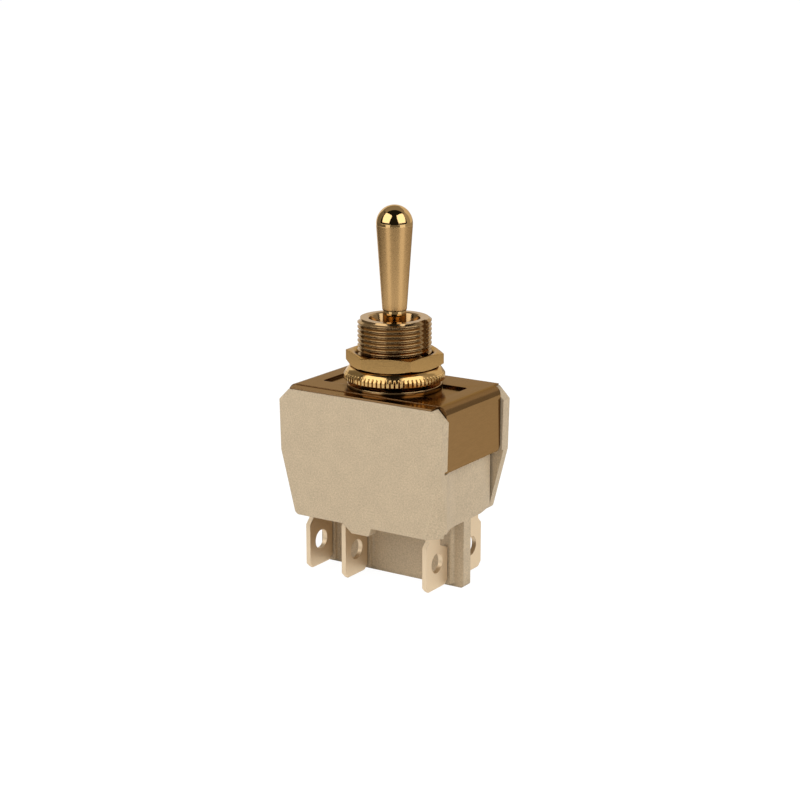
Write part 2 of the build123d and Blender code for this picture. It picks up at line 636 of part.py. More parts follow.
def moving_contact(side, end):
    """A contact rivet in one end of a rocker, with a flat nose that tapers out to its head."""
    low = moving_contact_low()
    under = low + MOVING_CONTACT_HEIGHT
    rivet = turned([
        (0, low),
        (CONTACT_NOSE, low),
        (CONTACT_DIAMETER / 2, low + CONTACT_NOSE_RISE),
        (CONTACT_DIAMETER / 2, under),
        (CONTACT_SHANK / 2, under),
        (CONTACT_SHANK / 2, under + ROCKER_THICKNESS),
        (0, under + ROCKER_THICKNESS),
    ])
    return Pos(end * CONTACT_REACH, side * POLE_OFFSET, 0) * rivet


def fixed_contact(side, end):
    """A flat contact rivet in the shelf of an outer terminal."""
    shelf = CASE_FLOOR_TOP + TAB_THICKNESS
    rivet = turned([
        (0, CASE_FLOOR_TOP),
        (CONTACT_SHANK / 2, CASE_FLOOR_TOP),
        (CONTACT_SHANK / 2, shelf),
        (CONTACT_DIAMETER / 2, shelf),
        (CONTACT_DIAMETER / 2, FIXED_CONTACT_TOP),
        (0, FIXED_CONTACT_TOP),
    ])
    return Pos(end * CONTACT_REACH, side * POLE_OFFSET, 0) * rivet


# Terminals
class TerminalPlace:
    """Where one terminal of a row stands, and how it differs from the others."""

    def __init__(self, name, blade, tip, shoulders, contact):
        self.name = name
        self.blade = blade
        self.tang = blade - FOOT_REACH
        self.tip = tip
        self.outer_shoulder = PAD_FOOT - shoulders[0]
        self.inner_shoulder = PAD_FOOT - shoulders[1]
        self.contact = contact


TERMINAL_PLACES = (
    TerminalPlace("left", LEFT_TAB_INSET - CORE_HALF_LENGTH, OUTER_TIP_RISE, LEFT_SHOULDERS, -1),
    TerminalPlace("centre", -CENTRE_TAB_OFFSET, CENTRE_TIP_RISE, CENTRE_SHOULDERS, 0),
    TerminalPlace("right", CORE_HALF_LENGTH - RIGHT_TAB_INSET, OUTER_TIP_RISE, RIGHT_SHOULDERS, 1),
)


def tab_blade(place):
    """The flat blade, from the foot down to the bevelled tip, drawn in the front row."""
    outer = TAB_OUTER_EDGE
    inner = TAB_INNER_EDGE
    outline = [
        (TAB_NECK_OUT, PAD_FOOT),
        (TAB_NECK_OUT, min(place.outer_shoulder + SHOULDER_SLOPE, PAD_FOOT - FACE_CUT)),
        (outer, place.outer_shoulder),
        (outer, place.tip + TAB_TIP_CHAMFER),
        (outer - TAB_TIP_CHAMFER, place.tip),
        (inner + TAB_TIP_CHAMFER, place.tip),
        (inner, place.tip + TAB_TIP_CHAMFER),
        (inner, place.inner_shoulder),
        (TAB_NECK_IN, min(place.inner_shoulder + SHOULDER_SLOPE, PAD_FOOT - FACE_CUT)),
        (TAB_NECK_IN, PAD_FOOT),
    ]
    face = make_face(Polyline(*[(place.blade, -u, z) for u, z in outline], close=True))
    blade = extrude(face, TAB_THICKNESS / 2, both=True)
    blade -= Pos(place.blade, -TAB_CENTRE, place.tip + TAB_HOLE_RISE) * Rot(0, 90, 0) * Cylinder(
        TAB_HOLE_DIAMETER / 2, 2 * TAB_THICKNESS
    )
    tip_edges = blade.edges().filter_by(Axis.Y).group_by(Axis.Z)[0]
    return chamfer(tip_edges, TAB_TIP_BEVEL)


def terminal(place, side):
    """A bent terminal: blade, foot under the case, tang through the floor and what it carries inside."""
    foot_under = PAD_FOOT - TAB_THICKNESS
    body = tab_blade(place)
    inside_top = CASE_FLOOR_TOP + TAB_THICKNESS
    body += block(place.tang, place.blade + TAB_THICKNESS / 2, -TAB_NECK_OUT, -TAB_NECK_IN,
                  foot_under, PAD_FOOT)
    body += block(place.tang, place.tang + TAB_THICKNESS, -TAB_NECK_OUT, -TAB_NECK_IN,
                  foot_under, inside_top)
    if place.contact:
        reach = place.contact * (CONTACT_REACH - CONTACT_DIAMETER / 2)
        tang_back = place.tang if place.contact < 0 else place.tang + TAB_THICKNESS
        body += block(tang_back, reach, -TAB_NECK_OUT, -SHELF_IN, CASE_FLOOR_TOP, inside_top)
        body -= Pos(place.contact * CONTACT_REACH, -POLE_OFFSET, CASE_FLOOR_TOP) * Cylinder(
            CONTACT_SHANK / 2 + SEAT_GAP, OVERCUT + 2 * TAB_THICKNESS
        )
    else:
        body += block(place.tang, CRADLE_HALF_LENGTH, -TAB_NECK_OUT, -SHELF_IN,
                      CASE_FLOOR_TOP, inside_top)
        body += block(-CRADLE_HALF_LENGTH, CRADLE_HALF_LENGTH, -TAB_NECK_OUT + TAB_THICKNESS / 2,
                      -SHELF_IN, CASE_FLOOR_TOP, ROCKER_PIVOT - CRADLE_TOP_DROP)
        body -= Pos(0, -POLE_OFFSET, ROCKER_PIVOT) * Rot(90, 0, 0) * Cylinder(
            RIDGE_RADIUS + RUNNING_GAP, 2 * TAB_WIDTH
        )
    bend = [
        edge for edge in body.edges().filter_by(Axis.Y)
        if abs(edge.center().Z - foot_under) < SAME_PLACE and abs(edge.center().X - place.tang) < SAME_PLACE
    ]
    body = fillet(bend, BEND_ROUND)
    return body if side < 0 else mirrored(body)


# Everything, by node name
def all_parts():
    """Every piece of the switch under its node name."""
    parts = {
        "case": case(),
        "frame": frame(),
        "insulating_liner": liner(),
        "bushing": bushing(),
        "knurled_nut": knurled_nut(),
        "hex_nut": hex_nut(),
        "lever": lever(),
        "lever_pin": lever_pin(),
        "yoke": yoke(),
    }
    for row, side in (("front", -1), ("rear", 1)):
        parts[f"plunger_{row}"] = plunger(side)
        parts[f"plunger_spring_{row}"] = plunger_spring(side)
        parts[f"rocker_{row}"] = rocker(side)
        for place in TERMINAL_PLACES:
            parts[f"terminal_{row}_{place.name}"] = terminal(place, side)
            if place.contact:
                parts[f"fixed_contact_{row}_{place.name}"] = fixed_contact(side, place.contact)
                parts[f"moving_contact_{row}_{place.name}"] = moving_contact(side, place.contact)
    return parts


os.makedirs("parts", exist_ok=True)
for node, shape in all_parts().items():
    export_step(shape, f"parts/{node}.step")
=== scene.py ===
"""Dresses a panel-mounting toggle switch and sets it in a plain white studio.

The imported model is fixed. The bushing, its two nuts and the lever are rebuilt here with their
thread, teeth, polish and edge rounding. The case, its brass frame and the tabs are finished copies
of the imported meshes, and every node inside the case gets a finish of its own. Blender works in
metres, and sizes here are in millimetres where a docstring or comment says so.
"""
import logging
import math
from dataclasses import dataclass, field
from enum import Enum
from functools import cache
from typing import Callable, Union

import bmesh
import bpy
from mathutils import Matrix, Vector


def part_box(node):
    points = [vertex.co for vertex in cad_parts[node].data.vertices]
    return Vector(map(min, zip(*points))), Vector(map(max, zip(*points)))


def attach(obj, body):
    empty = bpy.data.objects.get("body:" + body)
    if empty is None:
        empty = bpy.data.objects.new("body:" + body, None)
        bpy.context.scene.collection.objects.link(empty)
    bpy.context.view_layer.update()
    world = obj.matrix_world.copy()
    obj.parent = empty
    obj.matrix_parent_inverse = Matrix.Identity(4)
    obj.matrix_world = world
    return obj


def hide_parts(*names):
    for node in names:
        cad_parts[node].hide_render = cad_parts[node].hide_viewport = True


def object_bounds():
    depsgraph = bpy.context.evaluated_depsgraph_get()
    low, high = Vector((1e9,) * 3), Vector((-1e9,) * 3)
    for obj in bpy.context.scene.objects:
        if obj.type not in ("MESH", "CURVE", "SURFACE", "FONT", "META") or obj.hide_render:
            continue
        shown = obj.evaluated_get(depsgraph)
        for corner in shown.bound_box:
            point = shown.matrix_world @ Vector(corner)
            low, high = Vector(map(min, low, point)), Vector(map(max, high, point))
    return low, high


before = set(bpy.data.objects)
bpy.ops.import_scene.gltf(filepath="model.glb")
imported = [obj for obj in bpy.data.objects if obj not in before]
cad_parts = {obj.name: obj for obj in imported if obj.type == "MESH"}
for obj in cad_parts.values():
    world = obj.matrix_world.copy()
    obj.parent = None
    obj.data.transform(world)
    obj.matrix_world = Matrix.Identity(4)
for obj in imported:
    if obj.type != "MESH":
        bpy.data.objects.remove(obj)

CAD_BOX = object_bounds()
MM = 0.001
MERGE_DISTANCE = 0.002 * MM

log = logging.getLogger("toggle_switch")

Colour = tuple[float, float, float]
Profile = list[tuple[float, float]]
Shape = bmesh.types.BMesh
Edge = bmesh.types.BMEdge
Piece = bpy.types.Object
Node = bpy.types.Node
Tree = bpy.types.NodeTree
Socket = bpy.types.NodeSocket
Feed = Union[Socket, float, tuple[float, ...]]

WHITE = (1.0, 1.0, 1.0, 1.0)


def srgb(red: int, green: int, blue: int) -> Colour:
    """Turn a colour as the eye reads it into the shader's linear values.

    Args:
        red: Red from 0 to 255.
        green: Green from 0 to 255.
        blue: Blue from 0 to 255.

    Returns:
        The linear colour.
    """
    def linear(value: int) -> float:
        """Return one channel in linear light."""
        share = value / 255
        return share / 12.92 if share <= 0.04045 else ((share + 0.055) / 1.055) ** 2.4

    return linear(red), linear(green), linear(blue)


def spaced(label: str) -> str:
    """Turn a keyword into a socket's name."""
    return label.replace("_", " ")


def feed(tree: Tree, node: Node, *inputs: Feed, **named: Feed) -> None:
    """Set or link a node's inputs.

    Args:
        tree: The node's tree.
        node: The node.
        inputs: A value or a socket for each of its first inputs.
        named: Values or sockets by the input's name, with _ for a space.
    """
    pairs = list(zip(node.inputs, inputs))
    pairs += [(node.inputs[spaced(label)], value) for label, value in named.items()]
    for target, value in pairs:
        if isinstance(value, Socket):
            tree.links.new(value, target)
        else:
            target.default_value = value


def add_node(tree: Tree, kind: str, *inputs: Feed, **named: Union[Feed, str, Tree]) -> Node:
    """Add a shader node, set it up and feed its inputs.

    Args:
        tree: The tree to add to.
        kind: The node's type, without the words ShaderNode before it.
        inputs: A value or a socket for each of its first inputs.
        named: Settings, whose names are in small letters, and inputs, whose names are not.

    Returns:
        The node.
    """
    node = tree.nodes.new(f"ShaderNode{kind}")
    for label, value in named.items():
        if label.islower():
            setattr(node, label, value)
    feed(tree, node, *inputs, **{label: value for label, value in named.items() if not label.islower()})
    return node


def math_node(tree: Tree, operation: str, first: Feed, second: Feed) -> Socket:
    """Add a math node and return its result."""
    return add_node(tree, "Math", first, second, operation=operation).outputs[0]


def texture_scale(tree: Tree, spacing: Socket) -> Socket:
    """Turn a spacing in millimetres into a texture's scale."""
    return math_node(tree, "DIVIDE", 1 / MM, spacing)


def spread(tree: Tree, noise: Socket, low: Feed, high: Feed) -> Socket:
    """Map a noise's usual span, 0.3 to 0.7, to another one."""
    span = add_node(tree, "MapRange", Value=noise, From_Min=0.3, From_Max=0.7, To_Min=low, To_Max=high)
    return span.outputs["Result"]


def open_group(name: str, **inputs: float) -> tuple[Tree, bpy.types.NodeOutputs]:
    """Start a node group that takes object coordinates as Vector.

    Args:
        name: The group's name.
        inputs: Defaults of its float inputs, with _ for a space in a name.

    Returns:
        The group's tree and what is given to it.
    """
    tree = bpy.data.node_groups.new(name, "ShaderNodeTree")
    vector = tree.interface.new_socket("Vector", in_out="INPUT", socket_type="NodeSocketVector")
    vector.hide_value = True
    for label, default in inputs.items():
        socket = tree.interface.new_socket(spaced(label), in_out="INPUT", socket_type="NodeSocketFloat")
        socket.default_value = default
    return tree, tree.nodes.new("NodeGroupInput").outputs


def close_group(tree: Tree, **outputs: Socket) -> Tree:
    """Give a node group its float outputs.

    Args:
        tree: The group's tree.
        outputs: What each output puts out.

    Returns:
        The group's tree.
    """
    for label in outputs:
        tree.interface.new_socket(label, in_out="OUTPUT", socket_type="NodeSocketFloat")
    feed(tree, tree.nodes.new("NodeGroupOutput"), **outputs)
    return tree


@cache
def speckle() -> Tree:
    """Build the group for fine filler grains in a moulding.

    Returns:
        A group that puts out Shade, around 1, and Height, around 0.5.
    """
    tree, given = open_group("Speckle", Grain_Size=0.2, Contrast=0.1)
    fine_scale = texture_scale(tree, given["Grain Size"])
    broad_scale = math_node(tree, "MULTIPLY", fine_scale, 0.12)
    fine = add_node(tree, "TexNoise", Vector=given["Vector"], Scale=fine_scale, Detail=3.0, Roughness=0.7)
    broad = add_node(tree, "TexNoise", Vector=given["Vector"], Scale=broad_scale, Detail=2.0, Roughness=0.5)
    blend = add_node(tree, "Mix", Factor=0.15, A=fine.outputs["Fac"], B=broad.outputs["Fac"])
    low = math_node(tree, "SUBTRACT", 1.0, given["Contrast"])
    high = math_node(tree, "ADD", 1.0, given["Contrast"])
    shade = spread(tree, blend.outputs["Result"], low, high)
    return close_group(tree, Shade=shade, Height=fine.outputs["Fac"])


@cache
def lathe_lines() -> Tree:
    """Build the group for fine rings left by a turning tool round the Z axis.

    Returns:
        A group that puts out Lines, from 0 to 1.
    """
    tree, given = open_group("Lathe Lines", Pitch=0.08)
    split = add_node(tree, "SeparateXYZ", given["Vector"]).outputs
    flat = add_node(tree, "CombineXYZ", X=split["X"], Y=split["Y"])
    radius = add_node(tree, "VectorMath", flat.outputs[0], operation="LENGTH")
    ring = add_node(tree, "CombineXYZ", X=radius.outputs["Value"], Z=split["Z"])
    scale = texture_scale(tree, given["Pitch"])
    lines = add_node(tree, "TexNoise", Vector=ring.outputs[0], Scale=scale, Detail=4.0, Roughness=0.65)
    return close_group(tree, Lines=lines.outputs["Fac"])


@cache
def rolling_marks() -> Tree:
    """Build the group for the long faint streaks of rolled sheet.

    Returns:
        A group that puts out Streaks, from 0 to 1.
    """
    tree, given = open_group("Rolling Marks", Pitch=0.12, Stretch=12.0)
    split = add_node(tree, "SeparateXYZ", given["Vector"]).outputs
    squeezed = math_node(tree, "DIVIDE", split["Y"], given["Stretch"])
    joined = add_node(tree, "CombineXYZ", X=split["X"], Y=squeezed, Z=split["Z"])
    scale = texture_scale(tree, given["Pitch"])
    streaks = add_node(tree, "TexNoise", Vector=joined.outputs[0], Scale=scale, Detail=3.0, Roughness=0.6)
    return close_group(tree, Streaks=streaks.outputs["Fac"])


@cache
def brushed_arcs() -> Tree:
    """Build the group for faint arcs left by a rotating brush.

    Returns:
        A group that puts out Arcs, around 0.
    """
    brush_centre = (0.0, 22 * MM, 8 * MM)
    tree, given = open_group("Brushed Arcs", Depth=0.3)
    shifted = add_node(tree, "VectorMath", given["Vector"], brush_centre, operation="SUBTRACT")
    rings = add_node(tree, "TexWave", wave_type="RINGS", rings_direction="X", Vector=shifted.outputs[0],
                     Scale=0.9 / MM, Distortion=1.2, Detail=2.0, Detail_Scale=0.6)
    centred = math_node(tree, "SUBTRACT", rings.outputs["Fac"], 0.5)
    return close_group(tree, Arcs=math_node(tree, "MULTIPLY", centred, given["Depth"]))


@cache
def painted_corner_shade() -> Tree:
    """Build the group for painted shade, which darkens a surface where it is hemmed in.

    Returns:
        A group that turns Open, 1 where a surface is free, into Shading from 0 to 1, the share of painted
        shade.
    """
    tree, given = open_group("Corner Dirt", Open=1.0, Amount=0.8)
    # Painted shade: a noisy threshold on the ambient occlusion in Open gives the darkening.
    patches = add_node(tree, "TexNoise", Vector=given["Vector"], Scale=900.0, Detail=3.0, Roughness=0.6)
    swing = add_node(tree, "MapRange", Value=patches.outputs["Fac"], To_Min=-0.12, To_Max=0.12)
    mixed = math_node(tree, "ADD", given["Open"], swing.outputs["Result"])
    shadow_mix = add_node(tree, "MapRange", interpolation_type="SMOOTHSTEP", Value=mixed, From_Min=0.85,
                    From_Max=0.15)
    return close_group(tree, Dirt=math_node(tree, "MULTIPLY", shadow_mix.outputs["Result"], given["Amount"]))


def placed(tree: Tree, group: Tree, at: Socket, **inputs: Feed) -> bpy.types.NodeOutputs:
    """Place a shared group in a material and return its outputs."""
    return add_node(tree, "Group", node_tree=group, Vector=at, **inputs).outputs


def tinted_and_corner_shaded(tree: Tree, at: Socket, colour: Colour, shade: Socket, dark: float, amount: float,
           reach: float) -> Socket:
    """Vary a colour with a pattern and darken it with painted shade where the surface is hemmed in.

    Args:
        tree: The material's tree.
        at: Its object coordinates.
        colour: The linear colour.
        shade: The pattern, around 1.
        dark: How bright the painted shade is, as a share of the colour.
        amount: How much painted shade a corner gets, from 0 to 1.
        reach: How far the painted shade reaches out of a corner, in millimetres.

    Returns:
        The varied colour with its painted shade.
    """
    tint = add_node(tree, "Mix", data_type="RGBA", blend_type="MULTIPLY", Factor=1.0, A=(*colour, 1), B=shade)
    # Painted shade: ambient occlusion darkens the colour in corners and crevices.
    held = add_node(tree, "AmbientOcclusion", samples=6, Distance=reach * MM)
    corner = placed(tree, painted_corner_shade(), at, Open=held.outputs["AO"], Amount=amount)
    shadow_mix = add_node(tree, "Mix", data_type="RGBA", Factor=corner["Dirt"], A=tint.outputs["Result"],
                    B=(*(value * dark for value in colour), 1))
    return shadow_mix.outputs["Result"]


def relief(tree: Tree, pattern: Socket, edge: float, strength: float, depth: float) -> Socket:
    """Make a normal with softened edges and a pattern in relief.

    Args:
        tree: The material's tree.
        pattern: The pattern.
        edge: Radius of the softened edges, in millimetres.
        strength: How strong the relief is, from 0 to 1.
        depth: Depth of the relief, in millimetres.

    Returns:
        The normal.
    """
    soft = add_node(tree, "Bevel", samples=6, Radius=edge * MM)
    bump = add_node(tree, "Bump", Strength=strength, Distance=depth * MM, Height=pattern,
                    Normal=soft.outputs["Normal"])
    return bump.outputs["Normal"]


class Grain(Enum):
    """How the surface of a metal piece was made."""

    TURNED = "turned"
    ROLLED = "rolled"
    STAMPED = "stamped"


@dataclass(frozen=True)
class Moulded:
    """A matt moulded plastic with fine filler grains and painted shade in its corners.

    Attributes:
        name: The material's name.
        colour: Its linear colour.
        roughness: Its mean roughness.
        grain: Size of a filler grain, in millimetres.
        contrast: How far the grains are lighter or darker.
        edge: Radius of the softened edges, in millimetres.
        sway: How far the roughness goes up and down.
    """

    name: str
    colour: Colour
    roughness: float = 0.6
    grain: float = 0.22
    contrast: float = 0.07
    edge: float = 0.12
    sway: float = 0.08

    def build(self) -> bpy.types.Material:
        """Build the material.

        Returns:
            The finished material.
        """
        material = bpy.data.materials.new(self.name)
        material.use_nodes = True
        tree = material.node_tree
        at = add_node(tree, "TexCoord").outputs["Object"]
        grains = placed(tree, speckle(), at, Grain_Size=self.grain, Contrast=self.contrast)
        rough = add_node(tree, "MapRange", Value=grains["Height"], To_Min=self.roughness - self.sway,
                         To_Max=self.roughness + self.sway)
        # Painted shade in the moulding's corners.
        colour = tinted_and_corner_shaded(tree, at, self.colour, grains["Shade"], dark=0.3, amount=0.45, reach=1.2)
        normal = relief(tree, grains["Height"], self.edge, strength=0.18, depth=0.02)
        feed(tree, tree.nodes["Principled BSDF"], Base_Color=colour, Roughness=rough.outputs["Result"],
             Normal=normal, IOR=1.5)
        return material


@dataclass(frozen=True)
class Metal:
    """A bare or plated metal.

    Attributes:
        name: The material's name.
        colour: Its linear colour.
        roughness: Its mean roughness.
        grain: How its surface was made.
        pitch: Spacing of the tool or rolling marks, in millimetres.
        depth: Depth of the marks, in millimetres.
        shade: How far the marks are lighter or darker.
        grazing: Tint of what it reflects at a low angle.
        painted_shade: How dark its corners and crevices are painted, from 0 to 1; this is painted shade.
        reach: How far the painted shade reaches out of a corner, in millimetres.
        metallic: Its share of metal.
        arcs: Whether faint arcs of a brush cross it.
        edge: Radius of the softened edges, in millimetres.
        sway: How far the roughness goes up and down, as a share of it.
    """

    name: str
    colour: Colour
    roughness: float = 0.25
    grain: Grain = Grain.STAMPED
    pitch: float = 0.1
    depth: float = 0.002
    shade: float = 0.08
    grazing: Colour = (0.8, 0.72, 0.62)
    painted_shade: float = 0.8
    reach: float = 0.9
    metallic: float = 1.0
    arcs: bool = False
    edge: float = 0.08
    sway: float = 0.2

    def marks(self, tree: Tree, at: Socket) -> Socket:
        """Lay the marks that the making left.

        Args:
            tree: The material's tree.
            at: Its object coordinates.

        Returns:
            The pattern, around 0.5.
        """
        if self.grain is Grain.TURNED:
            pattern = placed(tree, lathe_lines(), at, Pitch=self.pitch)["Lines"]
        elif self.grain is Grain.ROLLED:
            pattern = placed(tree, rolling_marks(), at, Pitch=self.pitch)["Streaks"]
        else:
            pattern = placed(tree, speckle(), at, Grain_Size=self.pitch)["Height"]
        if self.arcs:
            pattern = math_node(tree, "ADD", pattern, placed(tree, brushed_arcs(), at)["Arcs"])
        return pattern

    def build(self) -> bpy.types.Material:
        """Build the material.

        Returns:
            The finished material.
        """
        material = bpy.data.materials.new(self.name)
        material.use_nodes = True
        tree = material.node_tree
        at = add_node(tree, "TexCoord").outputs["Object"]
        pattern = self.marks(tree, at)
        level = spread(tree, pattern, 1 - self.shade, 1 + self.shade)
        rough = spread(tree, pattern, self.roughness * (1 - self.sway), self.roughness * (1 + self.sway))
        # Painted shade in the metal's corners and crevices.
        colour = tinted_and_corner_shaded(tree, at, self.colour, level, dark=0.16, amount=self.painted_shade, reach=self.reach)
        normal = relief(tree, pattern, self.edge, strength=0.6, depth=self.depth)
        feed(tree, tree.nodes["Principled BSDF"], Base_Color=colour, Roughness=rough, Normal=normal,
             Metallic=self.metallic, Specular_Tint=(*self.grazing, 1))
        return material


class Finish(Enum):
    """Every finish on the switch."""

    CASE = Moulded("case moulding", srgb(194, 174, 144), grain=0.26, contrast=0.24)
    YOKE = Moulded("brown phenolic", srgb(110, 62, 38), roughness=0.45, contrast=0.12)
    LINER = Moulded("fibre liner", srgb(120, 84, 52), roughness=0.8, grain=0.4, contrast=0.16)
    # Each metal's painted_shade and reach set its painted shade in corners and crevices.
    FRAME = Metal("rolled brass", srgb(140, 109, 73), 0.15, Grain.ROLLED, pitch=0.15, depth=0.003,
                  grazing=(0.6, 0.5, 0.4), painted_shade=0.88, reach=2.0, arcs=True)
    BUSHING = Metal("turned brass", srgb(182, 150, 106), 0.15, Grain.TURNED, pitch=0.12, painted_shade=0.75,
                    reach=0.7)
    NUT = Metal("satin nut brass", srgb(190, 151, 94), 0.2, Grain.TURNED, pitch=0.2,
                grazing=(0.7, 0.6, 0.48), painted_shade=0.7)
    # A lighter copy of the nut's brass, so that its crown's highlights come out brighter; the lighter colour
    # is painted highlight, and its painted shade reaches less far.
    KNURL = Metal("knurled nut brass", srgb(214, 175, 114), 0.15, Grain.TURNED, pitch=0.2,
                  grazing=(0.9, 0.8, 0.66), painted_shade=0.75, reach=0.35)
    GRIP = Metal("satin lever", srgb(206, 166, 112), 0.3, Grain.STAMPED, pitch=0.2, depth=0.004,
                 shade=0.06)
    POLISHED = Metal("polished lever", srgb(222, 184, 126), 0.05, Grain.TURNED, pitch=0.3, depth=0.0005,
                     shade=0.02, painted_shade=0.95, reach=3.0)
    TERMINAL = Metal("tinned tab", srgb(228, 206, 174), 0.46, Grain.STAMPED, pitch=0.3, shade=0.04,
                     painted_shade=0.3, reach=0.5, metallic=0.88)
    ROCKER = Metal("rocker brass", srgb(200, 160, 100), 0.3, Grain.ROLLED)
    CONTACT = Metal("contact silver", srgb(222, 220, 214), 0.22, Grain.TURNED)
    STEEL = Metal("spring steel", srgb(150, 150, 152), 0.25, Grain.STAMPED, grazing=(0.9, 0.9, 0.92))

    def material(self) -> bpy.types.Material:
        """Return the finish's material, built the first time it is asked for."""
        return bpy.data.materials.get(self.value.name) or self.value.build()


def finished_object(shape: Shape, name: str, finishes: list[Finish]) -> Piece:
    """Turn a shape into an object at the origin.

    Args:
        shape: The modelled shape, freed here.
        name: The piece's name.
        finishes: Its finishes, by material index.

    Returns:
        The linked object.
    """
    data = bpy.data.meshes.new(name)
    shape.to_mesh(data)
    shape.free()
    piece = bpy.data.objects.new(name, data)
    bpy.context.scene.collection.objects.link(piece)
    for finish in finishes:
        data.materials.append(finish.material())
    return piece


def shade_by_angle(piece: Piece, degrees: float, flat: bool = False) -> None:
    """Shade a piece smooth, with every edge over an angle kept sharp.

    Args:
        piece: The piece.
        degrees: The least angle of a sharp edge.
        flat: Whether its large faces stay flat beside rounded edges.
    """
    shape = bmesh.new()
    shape.from_mesh(piece.data)
    for face in shape.faces:
        face.smooth = True
    limit = math.radians(degrees)
    for edge in shape.edges:
        edge.smooth = len(edge.link_faces) == 2 and edge.calc_face_angle(math.pi) < limit
    shape.to_mesh(piece.data)
    shape.free()
    if flat:
        even = piece.modifiers.new("even shading", "WEIGHTED_NORMAL")
        even.keep_sharp = True


def spun(profile: Profile, steps: int, close: bool = True, rise: float = 0.0) -> Shape:
    """Spin a profile of radius and height pairs once round the Z axis.

    Args:
        profile: Points in millimetres.
        steps: Steps in the full turn.
        close: Whether the profile's last point joins its first.
        rise: How far the turn climbs, in millimetres.

    Returns:
        The spun shape, merged.
    """
    shape = bmesh.new()
    points = [shape.verts.new((radius * MM, 0, height * MM)) for radius, height in profile]
    ends = points[1:] + points[:1] if close else points[1:]
    edges = [shape.edges.new(pair) for pair in zip(points, ends)]
    bmesh.ops.spin(shape, geom=points + edges, cent=(0, 0, 0), axis=(0, 0, 1),
                   dvec=(0, 0, rise * MM / steps), angle=math.tau, steps=steps, use_merge=rise == 0,
                   use_duplicate=False)
    bmesh.ops.remove_doubles(shape, verts=shape.verts, dist=MERGE_DISTANCE)
    return shape


def arc_points(centre: tuple[float, float], radius: float, start: float, end: float,
               count: int) -> Profile:
    """Return points along an arc of a profile.

    Args:
        centre: The arc's centre, as radius and height.
        radius: Its radius.
        start: Its first angle, in degrees from the outward direction.
        end: Its last angle.
        count: How many points.

    Returns:
        The points, first and last included.
    """
    angles = [math.radians(start + (end - start) * k / (count - 1)) for k in range(count)]
    return [(centre[0] + radius * math.cos(a), centre[1] + radius * math.sin(a)) for a in angles]


class Cut(Enum):
    """What is kept of one shape when another meets it."""

    SHARED = "INTERSECT"
    OUTSIDE = "DIFFERENCE"


def cut_by(first: Shape, second: Shape, cut: Cut) -> Shape:
    """Cut one closed shape by another.

    Args:
        first: The shape to cut, freed here.
        second: The shape that cuts it, freed here.
        cut: What is kept of the first.

    Returns:
        The cut shape.
    """
    kept, other = finished_object(first, "cut shape", []), finished_object(second, "cutter", [])
    boolean = kept.modifiers.new("cut", "BOOLEAN")
    boolean.operation = cut.value
    boolean.solver = "EXACT"
    boolean.object = other
    graph = bpy.context.evaluated_depsgraph_get()
    result = bpy.data.meshes.new_from_object(kept.evaluated_get(graph))
    shape = bmesh.new()
    shape.from_mesh(result)
    spent = (kept.data, other.data, result)
    for piece in (kept, other):
        bpy.data.objects.remove(piece)
    for data in spent:
        bpy.data.meshes.remove(data)
    return shape


